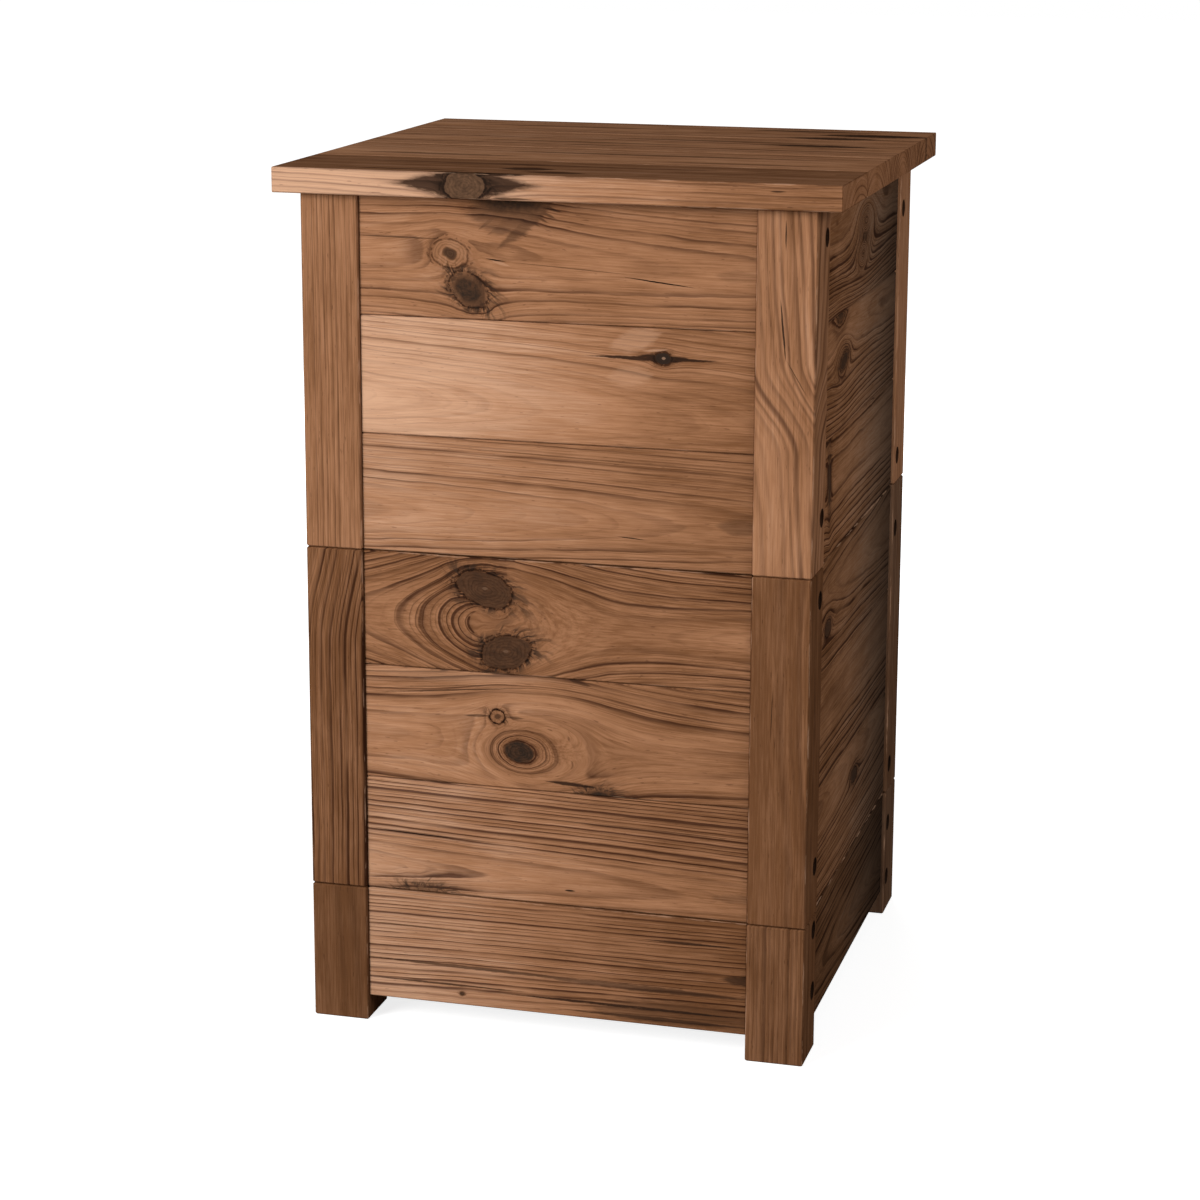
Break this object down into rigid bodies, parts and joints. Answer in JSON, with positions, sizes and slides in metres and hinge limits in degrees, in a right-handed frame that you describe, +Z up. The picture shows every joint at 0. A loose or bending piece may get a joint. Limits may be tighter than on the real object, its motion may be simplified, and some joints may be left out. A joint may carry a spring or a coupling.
{
  "type": "wormery",
  "caption": "Square timber wormery: a loose plank lid over stacked boarded trays with drilled floors, on a footed base that holds a pull-out sump tray.",
  "frame": {"origin": "on the ground, midway between the four feet", "axes": "+Z up, -Y out of the front face, +X to the right seen from the front"},
  "size_m": [0.449, 0.4297, 0.6994],
  "materials": {
    "front_boards": "stained and brushed softwood",
    "side_boards": "stained and brushed softwood",
    "posts": "stained and brushed softwood",
    "lid": "stained and brushed softwood",
    "inner_timber": "sawn untreated softwood",
    "sump_plastic": "moulded plastic",
    "screw_steel": "zinc-plated"
  },
  "bodies": {
    "base": {"base_board_front": "front_boards", "base_board_left": "side_boards", "base_board_right": "side_boards", "base_leg_front_left": "posts", "base_leg_front_right": "posts", "base_leg_rear_left": "posts", "base_leg_rear_right": "posts", "base_rear_rail": "side_boards", "base_sump_runner_left": "inner_timber", "base_sump_runner_right": "inner_timber"},
    "lid": {"lid_batten_left": "inner_timber", "lid_batten_right": "inner_timber", "lid_board_1": "lid", "lid_board_2": "lid", "lid_board_3": "lid", "lid_board_4": "lid"},
    "middle_tray": {"middle_tray_board_front_bottom": "front_boards", "middle_tray_board_front_middle": "front_boards", "middle_tray_board_front_top": "front_boards", "middle_tray_board_left_bottom": "side_boards", "middle_tray_board_left_middle": "side_boards", "middle_tray_board_left_top": "side_boards", "middle_tray_board_rear_bottom": "side_boards", "middle_tray_board_rear_middle": "side_boards", "middle_tray_board_rear_top": "side_boards", "middle_tray_board_right_bottom": "side_boards", "middle_tray_board_right_middle": "side_boards", "middle_tray_board_right_top": "side_boards", "middle_tray_floor": "inner_timber", "middle_tray_floor_bearer_left": "inner_timber", "middle_tray_floor_bearer_right": "inner_timber", "middle_tray_post_front_left": "posts", "middle_tray_post_front_right": "posts", "middle_tray_post_rear_left": "posts", "middle_tray_post_rear_right": "posts"},
    "sump_drawer": {"sump_drawer_front": "side_boards", "sump_drawer_pull": "side_boards", "sump_drawer_screw_left": "screw_steel", "sump_drawer_screw_right": "screw_steel", "sump_tray": "sump_plastic"},
    "upper_tray": {"upper_tray_board_front_bottom": "front_boards", "upper_tray_board_front_middle": "front_boards", "upper_tray_board_front_top": "front_boards", "upper_tray_board_left_bottom": "side_boards", "upper_tray_board_left_middle": "side_boards", "upper_tray_board_left_top": "side_boards", "upper_tray_board_rear_bottom": "side_boards", "upper_tray_board_rear_middle": "side_boards", "upper_tray_board_rear_top": "side_boards", "upper_tray_board_right_bottom": "side_boards", "upper_tray_board_right_middle": "side_boards", "upper_tray_board_right_top": "side_boards", "upper_tray_floor": "inner_timber", "upper_tray_floor_bearer_left": "inner_timber", "upper_tray_floor_bearer_right": "inner_timber", "upper_tray_post_front_left": "posts", "upper_tray_post_front_right": "posts", "upper_tray_post_rear_left": "posts", "upper_tray_post_rear_right": "posts"}
  },
  "joints": [
    {"name": "middle_tray_lift", "type": "slide", "parent": "base", "child": "middle_tray", "axis": [0, 0, 1], "range_m": [0, 0.08]},
    {"name": "upper_tray_lift", "type": "slide", "parent": "middle_tray", "child": "upper_tray", "axis": [0, 0, 1], "range_m": [0, 0.08]},
    {"name": "lid_lift", "type": "slide", "parent": "upper_tray", "child": "lid", "axis": [0, 0, 1], "range_m": [0, 0.1]},
    {"name": "sump_drawer_slide", "type": "slide", "parent": "base", "child": "sump_drawer", "axis": [0, 1, 0], "range_m": [0, 0.28]}
  ]
}
